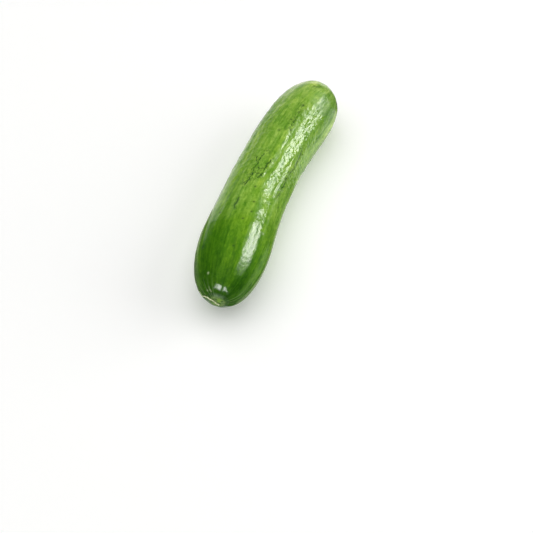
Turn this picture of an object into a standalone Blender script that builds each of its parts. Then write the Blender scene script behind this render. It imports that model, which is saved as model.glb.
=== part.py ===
"""A persian cucumber lying on its side, with the dry thread of its flower still on the blossom end.

The fruit is one skin lofted from rings along a bent middle line, and its low relief is worked out by formula.
X runs from the blossom end to the stem end, Y to the outside of the bend and Z up. Sizes are in metres, and
angles round the fruit are counted from the outside of the bend over the top.
"""

import math

import bmesh
import bpy
import numpy as np

# The body: distances run along the middle line from the blossom end
LENGTH = 0.1403
BELLY_AT, BELLY_RADIUS = 0.034, 0.0168
WAIST_AT, WAIST_RADIUS = 0.083, 0.0154
SHOULDER_AT, SHOULDER_RADIUS = 0.110, 0.0158
WAIST_EASE = 0.6  # below 1, the body slims soon after the belly

# Each end is a superellipse: its power along the fruit, and its power across it
BLOSSOM_POWERS = (2.0, 2.5)
STEM_POWERS = (2.7, 2.5)

# The bend lies flat, and tightens evenly from a straight blossom end to the stem end
BEND = math.radians(26.5)
BEND_STEPS = 400

# How it rests: both ends rise a little from the underside, which is pressed flat between them
END_LIFT = 0.0011
FLAT_DEPTH = 0.0004

# Relief along the body
LOBES, LOBE_HEIGHT, LOBE_TURN = 3, 0.00022, 0.9
RIBS, RIB_HEIGHT, RIB_WANDER = 10, 0.00012, 0.5
RELIEF_FADE = 0.014  # the ribs die away over this length towards each end

# Scars: a raised ring round a dished disc, and a nub at its own distances to the outside of the bend and up
BLOSSOM_SCAR = {
    "ring": 0.0034,
    "ring_width": 0.0007,
    "ring_height": 0.00028,
    "dish": 0.00025,
    "nub": 0.00055,
    "nub_at": (-0.0011, 0.0008),
}
STEM_SCAR = {
    "ring": 0.0031,
    "ring_width": 0.0009,
    "ring_height": 0.00045,
    "dish": 0.0006,
    "nub": 0.0003,
    "nub_at": (0.0, 0.0),
}
NUB_RADIUS = 0.0011

# Puckers: furrows that run out from each scar
PUCKERS, PUCKER_DEPTH = 9, 0.00016
PUCKER_RUN_IN, PUCKER_REACH = 0.0016, 0.0095

# The thread's route over the skin from the middle of the blossom scar: to the outside of the bend, and up
THREAD_ROUTE = (
    (-0.0008, -0.0023),
    (0.0014, 0.0001),
    (0.0037, 0.0016),
    (0.0059, 0.0009),
    (0.0075, -0.0005),
    (0.0089, 0.0000),
    (0.0121, -0.0023),
)
THREAD_RADIUS = 0.00033
THREAD_GAP = 0.0003
THREAD_POINTS = 26

# Mesh fineness
SIDES = 64
SCAR_RINGS, SCAR_REACH = 9, 0.0045
END_RINGS = 12
BODY_RINGS = 24

SKIN_COLOUR, SKIN_ROUGHNESS = (0.105, 0.255, 0.022), 0.35
THREAD_COLOUR, THREAD_ROUGHNESS = (0.52, 0.48, 0.27), 0.8


def ease(share):
    """Rises smoothly from 0 to 1 while the share does."""
    share = np.clip(share, 0.0, 1.0)
    return share * share * (3.0 - 2.0 * share)


def body_radius(along):
    """The radius without the round ends: belly, then a slight waist, then the shoulder of the stem end."""
    slimmed = np.clip((along - BELLY_AT) / (WAIST_AT - BELLY_AT), 0.0, 1.0) ** WAIST_EASE
    swelled = (along - WAIST_AT) / (SHOULDER_AT - WAIST_AT)
    return (
        BELLY_RADIUS
        + (WAIST_RADIUS - BELLY_RADIUS) * ease(slimmed)
        + (SHOULDER_RADIUS - WAIST_RADIUS) * ease(swelled)
    )


def end_rings(end_length, end_radius, powers):
    """Distance from the pole and share of the body's radius, for each ring of a round end, pole first."""
    along_power, across_power = powers
    scar_share = np.linspace(SCAR_REACH / SCAR_RINGS, SCAR_REACH, SCAR_RINGS) / end_radius
    scar_turn = np.arcsin(scar_share ** (across_power / 2.0))
    turn = np.concatenate([scar_turn, np.linspace(scar_turn[-1], math.pi / 2, END_RINGS + 1)[1:]])
    depth = end_length * (1.0 - np.maximum(np.cos(turn), 0.0) ** (2.0 / along_power))
    return depth, np.sin(turn) ** (2.0 / across_power)


def profile():
    """Distance along the middle line and radius, for every ring from the blossom end to the stem end."""
    stem_length = LENGTH - SHOULDER_AT
    blossom_depth, blossom_share = end_rings(BELLY_AT, BELLY_RADIUS, BLOSSOM_POWERS)
    stem_depth, stem_share = end_rings(stem_length, SHOULDER_RADIUS, STEM_POWERS)
    body = np.linspace(BELLY_AT, SHOULDER_AT, BODY_RINGS + 2)[1:-1]
    along = np.concatenate([blossom_depth, body, LENGTH - stem_depth[::-1]])
    share = np.concatenate([blossom_share, np.ones(BODY_RINGS), stem_share[::-1]])
    return along, share * body_radius(along)


def profile_slopes(along, radius):
    """The profile's normal at each ring, as its parts along the fruit and away from the middle line."""
    run = np.gradient(along)
    rise = np.gradient(radius)
    size = np.hypot(run, rise)
    return -rise / size, run / size


def heading(along):
    """The middle line's angle to X, chosen so that both its ends lie on a line along X."""
    share = along / LENGTH
    return BEND * (1.0 / 3.0 - share * share)


def middle_line(along):
    """Points of the middle line, with its direction, the way sideways and the way up at each."""
    fine = np.linspace(0.0, LENGTH, BEND_STEPS + 1)
    turn = heading(fine)
    steps = np.diff(fine)
    x = np.concatenate([[0.0], np.cumsum(steps * np.cos((turn[1:] + turn[:-1]) / 2))])
    y = np.concatenate([[0.0], np.cumsum(steps * np.sin((turn[1:] + turn[:-1]) / 2))])
    # the middle line stands a body radius over the floor, less the depth of the flat spot
    rise = END_LIFT * (2.0 * along / LENGTH - 1.0) ** 2
    z = body_radius(along) - FLAT_DEPTH + rise
    points = np.stack([np.interp(along, fine, x), np.interp(along, fine, y), z], axis=-1)
    turn = heading(along)
    forward = np.stack([np.cos(turn), np.sin(turn), 0 * turn], axis=-1)
    sideways = np.stack([-np.sin(turn), np.cos(turn), 0 * turn], axis=-1)
    up = np.broadcast_to([0.0, 0.0, 1.0], forward.shape)
    return points, forward, sideways, up


def rib_relief(along, angle):
    """Three low lobes and shallow ribs that wander a little along the body."""
    share = along / LENGTH
    fade = ease(along / RELIEF_FADE) * ease((LENGTH - along) / RELIEF_FADE)
    lobes = LOBE_HEIGHT * np.cos(LOBES * angle + LOBE_TURN * share)
    wander = RIB_WANDER * np.sin(2.0 * math.pi * share + 2.0 * angle)
    ribs = RIB_HEIGHT * np.cos(RIBS * angle + wander)
    return fade * (lobes + ribs)


def scar_relief(from_pole, angle, scar):
    """A ring round a dished disc with a nub, and puckers outside the ring."""
    past_ring = from_pole - scar["ring"]
    ring = scar["ring_height"] * np.exp(-((past_ring / scar["ring_width"]) ** 2))
    dish = -scar["dish"] * (1.0 - ease(from_pole / scar["ring"]))
    side, up = scar["nub_at"]
    from_nub = np.hypot(from_pole * np.cos(angle) - side, from_pole * np.sin(angle) - up)
    nub = (scar["nub"] + scar["dish"]) * np.exp(-((from_nub / NUB_RADIUS) ** 2))
    pucker_fade = ease(past_ring / PUCKER_RUN_IN) * ease(1.0 - past_ring / PUCKER_REACH)
    puckers = -PUCKER_DEPTH * pucker_fade * (1.0 + np.cos(PUCKERS * angle)) / 2.0
    return ring + dish + nub + puckers


def relief(along, radius, angle):
    """Height over the plain loft, along the skin's own normal."""
    near_blossom = along < LENGTH / 2
    from_pole = np.hypot(radius, np.where(near_blossom, along, LENGTH - along))
    blossom = scar_relief(from_pole, angle, BLOSSOM_SCAR)
    stem = scar_relief(from_pole, angle, STEM_SCAR)
    return rib_relief(along, angle) + np.where(near_blossom, blossom, stem)


def skin_point(along, radius, slope, angle, lift=0.0):
    """Points on the skin. The slope is the profile's normal, as its parts along the fruit and outward."""
    points, forward, sideways, up = middle_line(along)
    outward = np.cos(angle)[..., None] * sideways + np.sin(angle)[..., None] * up
    normal = slope[1][..., None] * outward + slope[0][..., None] * forward
    height = relief(along, radius, angle) + lift
    return points + radius[..., None] * outward + height[..., None] * normal


def rest_on_floor(point):
    """The underside is flat where the fruit's weight presses it on the floor."""
    return (point[0], point[1], max(point[2], 0.0))


def close_end(mesh, ring, pole, stem_end):
    """A fan of triangles from the pole to the first ring, facing outward."""
    centre = mesh.verts.new(pole)
    for side in range(SIDES):
        after = (side + 1) % SIDES
        corners = (ring[side], centre, ring[after]) if stem_end else (ring[after], centre, ring[side])
        mesh.faces.new(corners)


def build_fruit():
    """Rings of skin points joined by quads, with a fan of triangles over each pole."""
    along, radius = profile()
    slopes = profile_slopes(along, radius)
    angles = np.arange(SIDES) * 2.0 * math.pi / SIDES
    grid_along, grid_angle = np.meshgrid(along, angles, indexing="ij")
    wide = [np.broadcast_to(value[:, None], grid_along.shape) for value in (radius, *slopes)]
    skin = skin_point(grid_along, wide[0], (wide[1], wide[2]), grid_angle)
    pole_slope = (np.array([-1.0, 1.0]), np.zeros(2))
    poles = skin_point(np.array([0.0, LENGTH]), np.zeros(2), pole_slope, np.zeros(2))

    mesh = bmesh.new()
    rings = [[mesh.verts.new(rest_on_floor(point)) for point in ring] for ring in skin]
    for lower, upper in zip(rings, rings[1:]):
        for side in range(SIDES):
            after = (side + 1) % SIDES
            mesh.faces.new((lower[side], upper[side], upper[after], lower[after]))
    close_end(mesh, rings[0], poles[0], False)
    close_end(mesh, rings[-1], poles[1], True)
    bmesh.ops.recalc_face_normals(mesh, faces=mesh.faces[:])

    data = bpy.data.meshes.new("fruit")
    mesh.to_mesh(data)
    mesh.free()
    data.shade_smooth()
    data.materials.append(plain_material("cucumber_skin", SKIN_COLOUR, SKIN_ROUGHNESS))
    fruit = bpy.data.objects.new("fruit", data)
    bpy.context.collection.objects.link(fruit)
    return fruit


def smooth_through(places, count):
    """Points along the Catmull-Rom curve through the given places."""
    before = 2.0 * places[:1] - places[1:2]
    after = 2.0 * places[-1:] - places[-2:-1]
    knots = np.concatenate([before, places, after])
    reach = np.linspace(0.0, len(places) - 1, count)
    start = np.minimum(reach.astype(int), len(places) - 2)
    t = (reach - start)[:, None]
    a, b, c, d = (knots[start + shift] for shift in range(4))
    return b + t * (c - a) / 2 + t**2 * (a - 2.5 * b + 2 * c - d / 2) + t**3 * (1.5 * (b - c) + (d - a) / 2)


def thread_points():
    """The thread's middle line: a smooth curve through its route, held clear of the skin."""
    side, up = smooth_through(np.array(THREAD_ROUTE), THREAD_POINTS).T
    over_skin = np.hypot(side, up)
    along, radius = (np.concatenate([[0.0], values]) for values in profile())
    walked = np.concatenate([[0.0], np.cumsum(np.hypot(np.diff(along), np.diff(radius)))])
    slope = [np.interp(over_skin, walked, part) for part in profile_slopes(along, radius)]
    at_along = np.interp(over_skin, walked, along)
    at_radius = np.interp(over_skin, walked, radius)
    return skin_point(at_along, at_radius, slope, np.arctan2(up, side), THREAD_GAP + THREAD_RADIUS)


def build_thread():
    """A thin round strand along the thread's middle line."""
    curve = bpy.data.curves.new("blossom_thread", "CURVE")
    curve.dimensions = "3D"
    curve.bevel_depth = THREAD_RADIUS
    curve.bevel_resolution = 1
    curve.use_fill_caps = True
    spline = curve.splines.new("POLY")
    points = thread_points()
    spline.points.add(len(points) - 1)
    for place, point in zip(spline.points, points):
        place.co = (*point, 1.0)
    curve.materials.append(plain_material("dry_thread", THREAD_COLOUR, THREAD_ROUGHNESS))
    thread = bpy.data.objects.new("blossom_thread", curve)
    bpy.context.collection.objects.link(thread)
    return thread


def plain_material(name, colour, roughness):
    material = bpy.data.materials.new(name)
    material.use_nodes = True
    shader = material.node_tree.nodes["Principled BSDF"]
    shader.inputs["Base Color"].default_value = (*colour, 1.0)
    shader.inputs["Roughness"].default_value = roughness
    shader.inputs["Metallic"].default_value = 0.0
    return material


def centre_over_origin(objects):
    """Moves everything sideways so that the origin is under the middle of the whole box."""
    bpy.context.view_layer.update()
    corners = np.array([corner[:] for made in objects for corner in made.bound_box])
    middle = (corners.min(axis=0) + corners.max(axis=0)) / 2
    for made in objects:
        made.location = (-middle[0], -middle[1], 0.0)


def main():
    for old in list(bpy.data.objects):
        bpy.data.objects.remove(old, do_unlink=True)
    centre_over_origin([build_fruit(), build_thread()])


main()
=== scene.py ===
"""The look of a persian cucumber: its crinkled waxy skin, its scars and the dry thread of its flower.

The skin follows the same forms as the solid: rings along a bent middle line. Distances along the fruit run
from the blossom end, and angles round it are counted from the outside of the bend over the top. Sizes are in
metres, but a place in a route is written as mm along the fruit and degrees round it.
"""

import math

import bpy
import numpy as np
from mathutils import Matrix, Quaternion, Vector, noise


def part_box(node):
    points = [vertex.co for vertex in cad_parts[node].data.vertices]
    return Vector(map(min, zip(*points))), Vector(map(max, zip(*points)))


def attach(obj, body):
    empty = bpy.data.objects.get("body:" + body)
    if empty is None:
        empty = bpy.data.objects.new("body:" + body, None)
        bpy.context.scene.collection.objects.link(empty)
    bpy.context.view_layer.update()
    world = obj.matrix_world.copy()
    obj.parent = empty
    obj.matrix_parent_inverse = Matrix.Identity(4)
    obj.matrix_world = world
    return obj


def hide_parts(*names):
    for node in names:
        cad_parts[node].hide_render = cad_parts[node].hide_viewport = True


MM = 1000.0  # millimetres in a metre

# The body, as in the solid
LENGTH = 0.1403
BELLY_AT, BELLY_RADIUS = 0.034, 0.0168
WAIST_AT, WAIST_RADIUS = 0.083, 0.0154
SHOULDER_AT, SHOULDER_RADIUS = 0.110, 0.0158
WAIST_EASE = 0.6
BLOSSOM_POWERS = (2.0, 2.5)
STEM_POWERS = (2.7, 2.5)
BEND = math.radians(26.5)
BEND_STEPS = 400
END_LIFT = 0.0011
FLAT_DEPTH = 0.0004
LOBES, LOBE_HEIGHT, LOBE_TURN = 3, 0.00022, 0.9
RIBS, RIB_HEIGHT, RIB_WANDER = 10, 0.00012, 0.5
RELIEF_FADE = 0.014
# Scars: radius, width and height of the ring, depth of the dish, height of the nub and its place from the tip
BLOSSOM_SCAR = (0.0034, 0.0007, 0.00028, 0.00025, 0.00055, (-0.0011, 0.0008))
STEM_SCAR = (0.0031, 0.0009, 0.00045, 0.0006, 0.0003, (0.0, 0.0))
NUB_RADIUS = 0.0011
PUCKERS, PUCKER_DEPTH = 9, 0.00016
PUCKER_RUN_IN, PUCKER_REACH = 0.0016, 0.0095

# Mesh fineness: rings lie closer together over the scars
SIDES = 280
RINGS = 350
SCAR_ZONE = 0.0075
SCAR_CROWDING = 1.9
PROFILE_STEPS = 2000

# Layers of noise over the skin: size of their features across and along the fruit, seed, and height
SEED_STEPS = (17.3, 5.7, 31.1)
SWELL = (0.009, 0.022, 1, 0.00010)
RIPPLE = (0.0026, 0.0042, 2, 0.00009)
CRINKLE = (0.0014, 0.0012, 4, 0.00015)
PLEAT = (0.0019, 0.0260, 6, 0.00006)
STRIATION = (0.0009, 0.0110, 15, 0.000018)
# The same for noise that moves things about, with how far it moves them
FOLD_DRIFT = (0.002, 0.002, 9, 0.0007)
ROUTE_DRIFT = (0.0016, 0.0016, 5, 0.0005)
NUB_DRIFT = (0.0011, 0.0011, 16, 0.00035)
PATCH_DRIFT = (0.0020, 0.0060, 11, 4.0)  # in mm and in degrees
# The same for noise that makes things stronger and weaker, with its strength
AGE_PATCHES = (0.008, 0.013, 3, 0.5)
CRACK_BREAKS = (0.0012, 0.0012, 8, 3.0)
WIDE_STRIPES = (0.0045, 0.0600, 12, 0.9)
THIN_STRIPES = (0.0016, 0.0300, 13, 0.6)
DULL_STREAKS = (0.0011, 0.0060, 14, 1.3)

# Folds of the older skin: size of the cells between them across and along, depth, and width in cells
FOLD_CELL = (0.0015, 0.0014)
FOLD_DEPTH, FOLD_WIDTH = 0.0002, 0.45

# How the skin changes from the blossom end to the stem end: where each change starts, and its length
CRACKLE_START = (0.009, 0.007)
PLEAT_START = (0.007, 0.009)
OLD_SKIN = (0.054, 0.009)
STEM_SKIN = (0.114, 0.010)
# What is left of the crackle and the ripples in the young skin, and of the crackle near the stem
YOUNG_CRACKLE, YOUNG_RIPPLE, STEM_CRACKLE = 0.14, 0.30, 0.25
AGE_RANGE = (0.6, 1.4)  # bounds of the factor that AGE_PATCHES makes
SKIN_INSET = 0.00006  # keeps the fine relief inside the solid's box

# Where the cork of a scar and the dull skin round the blossom scar end, from the tip, and over what length
SCAR_EDGE = (0.0030, 0.0012)
DULL_TIP_EDGE = (0.0048, 0.0012)
DULL_TIP = 0.6

# Colour of the skin by share of the way from the blossom end. The darker blossom end and the paler stem end
# are partly the skin's own colour, and partly painted shade and painted light.
SKIN_COLOURS_AND_SHADING = (
    (0.00, (0.034, 0.130, 0.004)),
    (0.06, (0.062, 0.185, 0.006)),
    (0.17, (0.095, 0.255, 0.007)),
    (0.26, (0.138, 0.310, 0.013)),
    (0.35, (0.195, 0.385, 0.036)),
    (0.75, (0.195, 0.385, 0.036)),
    (0.87, (0.245, 0.435, 0.052)),
    (0.97, (0.310, 0.480, 0.095)),
)

# Depth of the long fold over the upper left: mm along the fruit, and the depths there
LEFT_FOLD = ((62, 66, 72, 78, 84, 90), (0.00010, 0.00066, 0.00058, 0.00044, 0.00028, 0.00020))

# Furrows, and swellings where the depth is below 0: depth, width, darkness and route
FURROWS = (
    (-0.00024, 0.0060, 0.0, ((37, 120), (37, 132))),
    (-0.00013, 0.0024, 0.0, ((46.5, 123.2), (46.5, 124.0))),
    (0.00003, 0.0007, 0.0, ((20, 117), (26, 115.5), (35, 114.5))),
    (0.00003, 0.0007, 0.0, ((24, 113.5), (29, 112.2), (36, 112))),
    (0.00060, 0.0090, 0.0, ((60.5, 108), (60.5, 138))),
    (-0.00032, 0.0080, 0.0, ((115.5, 112), (115.5, 138))),
    (0.00040, 0.0036, 0.0, ((92, 130), (98, 132), (104, 134), (118, 135))),
    (LEFT_FOLD, 0.0014, 0.0, ((62, 103.5), (66, 106), (70, 108), (75, 110), (80, 111), (86, 112), (90, 112))),
    (0.00030, 0.0014, 0.0, ((92, 112.5), (96, 113.5))),
    (0.00032, 0.0010, 0.0, ((56, 133.5), (60, 134), (71, 134.5), (78, 136), (83, 139))),
    (0.00006, 0.0008, 0.0, ((92, 112), (99, 113), (106, 113.5), (114, 112))),
    (0.00016, 0.0008, 0.3, ((58, 144), (65, 146.5), (75, 146), (80, 148), (84, 151.5), (89, 150), (96, 146))),
    (0.00007, 0.0008, 0.3, ((9, 105), (15, 104), (20, 102), (25, 99))),
    (0.00012, 0.0007, 0.6, ((129, 90), (130, 96), (131.5, 103))),
    (0.00012, 0.0007, 0.9, ((42, 79.5), (45, 78.8), (49, 79.5))),
    (0.00006, 0.0005, 0.4, ((55, 153), (56.5, 158))),
    (0.00006, 0.0004, 0.4, ((72.2, 125), (72.7, 132))),
    (0.0, 0.0003, 0.8, ((2.7, 88.5), (2.75, 88.5))),
    (0.00004, 0.0006, 0.0, ((15.6, 115), (14.6, 120), (14.4, 127), (15.4, 132))),
    (0.00003, 0.0006, 0.0, ((17.8, 116), (17.0, 121), (16.8, 127), (17.6, 131))),
    (0.00004, 0.0005, 0.0, ((13.4, 117), (12.6, 122), (12.6, 127), (13.2, 131))),
    (0.00002, 0.0006, 0.0, ((20.4, 118), (19.6, 123), (19.7, 128))),
)
DARK_SHARE = 0.7  # width of a furrow's dark line, as a share of the furrow's

# Cracks, narrower than the furrows: darkness and route
CRACKS = (
    (
        1.0,
        ((57.5, 80), (60, 81.5), (63.6, 83), (65, 84.4), (68.3, 82), (71.2, 83.7), (75, 84.5), (78.7, 86.7)),
    ),
    (0.8, ((73, 80), (75.4, 77.5))),
    (0.8, ((64.4, 76), (65, 79.5), (65.5, 84))),
    (0.9, ((64, 95.5), (66, 99.3), (68.7, 100), (73.7, 102), (76, 103))),
    (0.9, ((66.6, 87), (66.0, 91), (66.4, 95), (65.7, 98))),
    (0.8, ((69.8, 88), (69.4, 92), (69.7, 95.5))),
    (0.6, ((62.8, 88), (62.2, 90.5), (62.7, 93))),
    (0.9, ((80.6, 88), (81.2, 91), (80.9, 94))),
    (0.7, ((58.5, 75), (59.6, 77.2), (61, 80.5))),
    (0.9, ((60, 145), (64, 146), (69, 147.5), (72.8, 144.5), (76.3, 146.7), (78.8, 149), (82, 152.6))),
    (0.9, ((82, 152.6), (87, 151), (90.5, 149.6), (93, 146.7))),
    (0.5, ((98, 104), (104, 105), (110, 103.5), (114, 102))),
)
CRACK_DEPTH, CRACK_WIDTH = 0.00007, 0.00032
CRACKED_ZONE = 0.0018  # how far small cracks reach out beside a long one
CRACK_FAR = 0.002  # stands for any greater distance from a crack
CRACK_THINNING = 0.0003  # how much of its width on each side the faintest crack loses
CRACK_SHOWN, CRACK_SHOWN_CHANGE = 0.78, 0.22  # how strongly cracks show, and how much that varies

# Broad darker (below 0) and lighter patches, partly the skin's own uneven colour and partly painted shade and
# painted light: strength, mm along from and to, degrees round from and to, and how far their edges fade in mm
# along and in degrees
TONE_AND_SHADING_PATCHES = (
    (-1.00, 0, 32, 40, 84, 14, 4),
    (-0.60, 1, 7, 40, 66, 3, 4),
    (0.80, 1, 8, 16, 38, 3, 4),
    (0.50, 10, 24, 86, 112, 5, 4),
    (-0.50, 32, 54, 42, 80, 6, 4),
    (-0.45, 22, 60, 76, 87, 6, 3),
    (0.30, 60, 70, 48, 66, 4, 4),
    (0.30, 12, 62, 85, 108, 8, 4),
    (-0.55, 27, 35, 133, 146, 4, 5),
    (-0.90, 2, 13, 122, 152, 6, 6),
    (-0.35, 96, 118, 140, 160, 6, 6),
    (-1.00, 117, 138, 122, 168, 6, 8),
    (-0.50, 128, 138, 95, 130, 5, 8),
    # Painted shade that dims the skin where the shine fades near the stem end
    (-0.40, 119, 128, 118, 138, 4, 6),
    (0.60, 128, 138, 10, 90, 5, 10),
    # Painted shade under the shine
    (-0.30, 36, 120, 113, 133, 6, 5),
    (-0.25, 102, 112, 80, 104, 5, 8),
    (0.25, 46, 60, 132, 162, 8, 8),
)

# Patches where the skin is dull, in the same order
DULL = (
    (0.65, 118, 128, 100, 145, 5, 10),
    (0.5, 96, 101, 104, 117, 3, 4),
)

# Patches where the skin is smooth, in the same order
CALM = (
    (0.85, 60, 92, 99, 110, 3, 3),
    (0.7, 95.5, 101, 118, 138, 3, 4),
    (0.5, 73, 79, 116, 124, 2, 3),
)

# Places of the pits
PITS = (
    (48.5, 106), (42, 108), (36.5, 99), (21, 99), (21, 41.5), (39.5, 56), (94.8, 90),
    (103, 99), (102.5, 104), (109, 103), (114, 101), (97.5, 108), (58, 98), (74, 101.5),
)
PIT_DEPTH, PIT_RADIUS = 0.00012, 0.00055

# Pale specks and scratches, and painted glints on the blossom end's dome: strength, radius and route
SPECKS_AND_GLINTS = (
    (1.0, 0.00045, ((7.5, 60),)),
    (0.8, 0.00045, ((34, 138.5),)),
    # Painted glints of a reflection, near the tip
    (0.8, 0.00040, ((1.75, 44),)),
    (0.6, 0.00035, ((1.8, 58), (1.3, 61))),
    (0.3, 0.00030, ((2.6, 57), (2.1, 58))),
)
SPECK_HEIGHT = 0.00008

# Bright spots of the blossom scar, and dark ones where the strength is below 0: strength, places sideways and
# up from the tip, and radius
NUB_SPOTS = (
    (1.0, -0.0011, 0.0014, 0.0013),
    (0.9, -0.0009, 0.0003, 0.0010),
    (-1.0, -0.0021, 0.0010, 0.0005),
    (-1.0, -0.0011, -0.0011, 0.0006),
    (-0.9, 0.0006, 0.0014, 0.0005),
    (-0.7, 0.0024, -0.0005, 0.0006),
    (-0.6, -0.0026, -0.0006, 0.0006),
    (-0.5, -0.0004, 0.0030, 0.0004),
)

# The thread, as in the solid
THREAD_ROUTE = (
    (-0.0008, -0.0023),
    (0.0014, 0.0001),
    (0.0037, 0.0016),
    (0.0058, 0.0011),
    (0.0074, -0.0003),
    (0.0089, 0.0006),
    (0.0120, -0.0004),
)
THREAD_STEPS, THREAD_SIDES = 90, 10
THREAD_RADII = (0.00027, 0.00013)  # at the scar and at the tip
# How deep it starts in the scar, how high it then lies off the skin, and where along it each change ends
THREAD_SINK, THREAD_SINK_END = 0.00012, 0.08
THREAD_LIFT, THREAD_LIFT_END = 0.00022, 0.12
# Waves of its lift as a share, of its course in metres and of its thickness as a share, and the radians that
# each turns from end to end
THREAD_HEAVE, THREAD_HEAVE_TURN = 0.5, 19.0
THREAD_KINK, THREAD_KINK_TURNS = 0.00005, (53.0, 41.0, 67.0)
THREAD_KNOTS, THREAD_KNOT_TURN = 0.12, 73.0
# Ridges that wind round it like a rope's: number, height as a share of the thickness, and radians wound
THREAD_RIDGES, THREAD_RIDGE_HEIGHT, THREAD_RIDGE_TURN = 3, 0.18, 21.0
THREAD_TIP_POWER, THREAD_TIP_LEAST = 12, 0.02  # how bluntly the tip closes, and the least that is left there

# Noise textures: features for each mm (in the fibres for each metre), detail, roughness, shift, and stretch
# along the fruit, which makes features longer below 1
MOTTLE_NOISE = (0.34, 4.0, 0.65, 3.0, 0.6)
STREAK_NOISE = (0.75, 4.0, 0.65, 7.0, 0.07)
FLECK_NOISE = (1.0, 4.0, 0.7, 5.0, 0.4)
RAY_NOISE = (0.55, 3.0, 0.55, 13.0, 0.03)
CORK_NOISE = (1.2, 4.0, 0.65, 9.0)
SMALL_CRACK_NOISE = (0.8, 2.0, 0.5, 15.0)
CRACK_EDGE_NOISE = (1.6, 3.0, 0.6, 19.0)
CREASE_NOISE = (0.55, 3.0, 0.6, 11.0, 1.4)
GRAIN_NOISE = (1.1, 3.0, 0.6, 17.0, 1.1)
FIBRE_NOISE = (1500.0, 3.0, 0.6)

# Tints that multiply the skin's colour: value where a tint starts and where it is full, colour and strength
# The first tint lightens and the second darkens by those patches and stripes, partly as painted light and
# shade
TONE_AND_SHADING_TINTS = ((0.0, 1.0, (1.35, 1.20, 1.25), 1.0), (0.0, -1.0, (0.56, 0.70, 0.48), 1.0))
STREAK_TINTS = ((0.48, 0.70, (1.45, 1.28, 1.9), 0.8), (0.50, 0.30, (0.62, 0.75, 0.55), 0.8))
MOTTLE_TINTS = ((0.50, 0.62, (0.72, 0.84, 0.60), 1.0), (0.48, 0.36, (1.22, 1.12, 1.25), 1.0))
FLECK_TINTS = ((0.52, 0.66, (1.32, 1.22, 1.5), 1.0), (0.48, 0.34, (0.66, 0.78, 0.56), 1.0))

# Slow noise that moves the colours along the fruit: features for each mm, usual values, and reach as a share
COLOUR_DRIFT_SCALE, COLOUR_DRIFT_RANGE, COLOUR_DRIFT = 0.10, (0.25, 0.75), 0.03

# Pale rays that run out from the tip, partly the skin's own pale stripes and partly painted reflection: mm
# where they end and where they are full, their noise's values where they start and where they are full,
# strength and colour
RAY_REACH = (16.0, 4.0)
RAY_RANGE = (0.52, 0.70)
RAY_STRENGTH = 0.7
RAY_COLOUR = (0.22, 0.36, 0.12)

# Dark lines of the cracks, in mm: half their width where they fade and where they are full, how ragged their
# edges are with the usual values of that noise, and how far they run on past a crack's end
CRACK_LINE = (0.36, 0.14)
CRACK_RAGGEDNESS, CRACK_EDGE_RANGE = 0.14, (0.3, 0.7)
CRACK_OVERRUN = 0.45
# Small cracks beside them: cells for each mm, scale and reach of their wandering, line width, values of their
# noise where they start and where they are full, and strength
SMALL_CRACK_SCALE = 0.75
SMALL_CRACK_WARP = (0.9, 0.7)
SMALL_CRACK_LINE = (0.13, 0.03)
SMALL_CRACK_RANGE = (0.40, 0.60)
SMALL_CRACK_STRENGTH = 0.85

# Colours of marks, scars and the thread. A pair after a colour is the values of a noise or a mark where the
# colour starts and where it is full.
DARK_MARK = (0.022, 0.075, 0.012)
# Colour of the pale specks and of the painted glints
PALE_MARK = (0.52, 0.64, 0.34)
PALE_CORK = (0.25, 0.39, 0.10)
DARK_CORK, DARK_CORK_RANGE = (0.12, 0.28, 0.03), (0.38, 0.62)
NOTCH_COLOUR, NOTCH_RANGE = (0.075, 0.19, 0.014), (-0.2, -0.9)
NUB_COLOUR, NUB_RANGE = (0.24, 0.46, 0.04), (0.1, 0.6)
CORK_COVER = 0.9
DARK_FIBRE = (0.72, 0.80, 0.42)
PALE_FIBRE, PALE_FIBRE_RANGE = (0.93, 0.98, 0.68), (0.35, 0.7)
FIBRE_TIP, FIBRE_TIP_RANGE = (0.46, 0.60, 0.26), (0.55, 0.85)

# Roughness of the skin at two values of its mottle, what crackle and dullness add to it, and its refraction
SKIN_ROUGHNESS, MOTTLE_RANGE = (0.11, 0.17), (0.35, 0.65)
CRACKLE_ROUGHNESS, DULL_ROUGHNESS = 0.07, 0.50
WAX_IOR = 1.38
# Bump of the skin: height, strength in the crackled and in the young skin, and how crackled those are
GRAIN_HEIGHT = 0.000023
GRAIN_STRENGTHS, GRAIN_RANGE = (0.6, 1.55), (0.6, 0.2)
# Its creases: depth as a share of the height, width, and scale and reach of their wandering
CREASE_DEPTH, CREASE_WIDTH = 0.9, 0.10
CREASE_WARP = (0.5, 0.8)
FIBRE_HEIGHT, FIBRE_STRENGTH = 0.00005, 0.6
THREAD_ROUGHNESS = 0.7

# The window's panes, which overlap so that it is brightest in its middle. As seen from the fruit: degrees
# from X towards Y where one starts and ends, degrees above the floor of its foot and top, and its radiance
WINDOW_DISTANCE = 1.0
WINDOW_ROLL = -17.0
WINDOW_PANES = (
    (-92.0, -66.0, 25.0, 43.0, 2.4),
    (-78.0, -66.0, 24.5, 41.0, 3.6),
    (-68.0, -32.0, 19.8, 33.0, 20.0),
    (-66.0, -40.0, 33.0, 37.0, 4.0),
    (-62.0, -26.0, 31.0, 47.0, 1.4),
    (-34.0, -28.0, 36.0, 43.0, 7.0),
)
WINDOW_TINT = (1.0, 0.95, 0.96)

# The other lights that face the fruit: degrees from X towards Y and above the floor, distance, size, radiance
# and whether one only shines in the skin or only lights it
FAR_LIGHTS = (
    ("card", 32.0, 17.0, 1.2, (0.6, 0.75), 0.5, "shine"),
    ("lamp_a", 179.5, 24.0, 0.9, (0.34, 0.29), 20.0, "shine"),
    ("lamp_b", -151.5, 15.0, 0.9, (0.13, 0.28), 20.0, "shine"),
    ("ceiling", 90.0, 80.0, 2.0, (3.0, 3.0), 1.75, "fill"),
    ("side", -65.0, 28.0, 1.6, (1.6, 1.2), 2.2, "fill"),
)
AMBIENT = 0.05

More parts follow.
